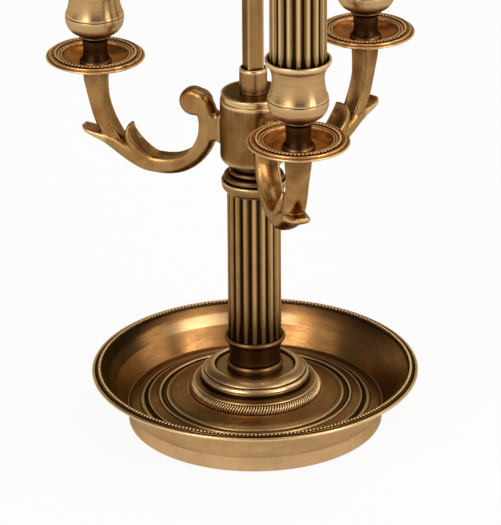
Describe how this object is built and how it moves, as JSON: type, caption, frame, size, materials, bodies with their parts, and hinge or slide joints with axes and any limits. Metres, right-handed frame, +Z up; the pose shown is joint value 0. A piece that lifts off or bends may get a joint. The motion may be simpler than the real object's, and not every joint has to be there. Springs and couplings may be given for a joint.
{
  "type": "bouillotte lamp",
  "caption": "Bouillotte table lamp: dished round base, fluted column, scrolled candle arms on a drum hub, and a wide metal shade clamped to a square stem.",
  "frame": {"origin": "centre of the felt face that the lamp stands on, under the axis of the column", "axes": "+Z up along the column; -Y is the front, towards the front candle arm; +Y is the back, where the cord enters the base"},
  "size_m": [0.3919, 0.392, 0.6933],
  "materials": {
    "turned_brass": "antique finish, brushed in rings, dark in the recesses",
    "cast_brass": "antique finish on a casting, edges rubbed bright",
    "polished_brass": "antique finish rubbed bright",
    "fluted_brass": "bright ribs and nearly black flutes",
    "dark_brass": "dark bronzed patina with rubbed edges",
    "steel_fastener": "zinc plated",
    "cast_iron": "black casting",
    "felt": "dark green felt",
    "lampholder_ceramic": "glazed white",
    "terminal_plastic": "matt",
    "bulb_glass": "clear glass with a warm tint",
    "shade_paint": "satin dark green outside, pale inside",
    "bushing_plastic": "satin black"
  },
  "bodies": {
    "lamp": {"felt_pad": "felt", "base_weight": "cast_iron", "base_dish": "turned_brass", "rim_beads": "polished_brass", "foot_plinth": "turned_brass", "rope_ring": "polished_brass", "column_socket": "dark_brass", "fluted_column": "fluted_brass", "capital": "dark_brass", "hub_body": "turned_brass", "hub_lid": "polished_brass", "terminal_block": "terminal_plastic", "stem_collar": "turned_brass", "stem_bar": "turned_brass", "stem_bolt": "steel_fastener", "centre_rod": "steel_fastener", "rod_nuts": "steel_fastener", "rod_washer": "steel_fastener", "cord_bushing": "bushing_plastic", "arm_screws": "steel_fastener", "arm_left": "cast_brass", "arm_front": "cast_brass", "arm_right": "cast_brass", "pan_left": "turned_brass", "pan_front": "turned_brass", "pan_right": "turned_brass", "cup_left": "polished_brass", "cup_front": "polished_brass", "cup_right": "polished_brass", "conduit_left": "steel_fastener", "conduit_front": "steel_fastener", "conduit_right": "steel_fastener", "candle_left": "fluted_brass", "candle_front": "fluted_brass", "candle_right": "fluted_brass", "candle_cap_left": "polished_brass", "candle_cap_front": "polished_brass", "candle_cap_right": "polished_brass", "lampholder_left": "lampholder_ceramic", "lampholder_front": "lampholder_ceramic", "lampholder_right": "lampholder_ceramic", "bulb_left": "bulb_glass", "bulb_front": "bulb_glass", "bulb_right": "bulb_glass"},
    "shade_carriage": {"shade": "shade_paint", "shade_hem": "polished_brass", "shade_spider": "turned_brass", "shade_carrier": "turned_brass"},
    "thumb_screw": {"thumb_screw": "polished_brass"},
    "finial": {"finial": "polished_brass"}
  },
  "joints": [
    {"name": "shade_slide", "type": "slide", "parent": "lamp", "child": "shade_carriage", "axis": [0, 0, 1], "range_m": [-0.055, 0.03]},
    {"name": "thumb_turn", "type": "hinge", "parent": "shade_carriage", "child": "thumb_screw", "pos_m": [0.00717, -0.01867, 0.57], "axis": [0.3584, -0.9336, 0], "continuous": true},
    {"name": "finial_turn", "type": "hinge", "parent": "lamp", "child": "finial", "pos_m": [0, 0, 0.6413], "axis": [0, 0, 1], "continuous": true}
  ]
}
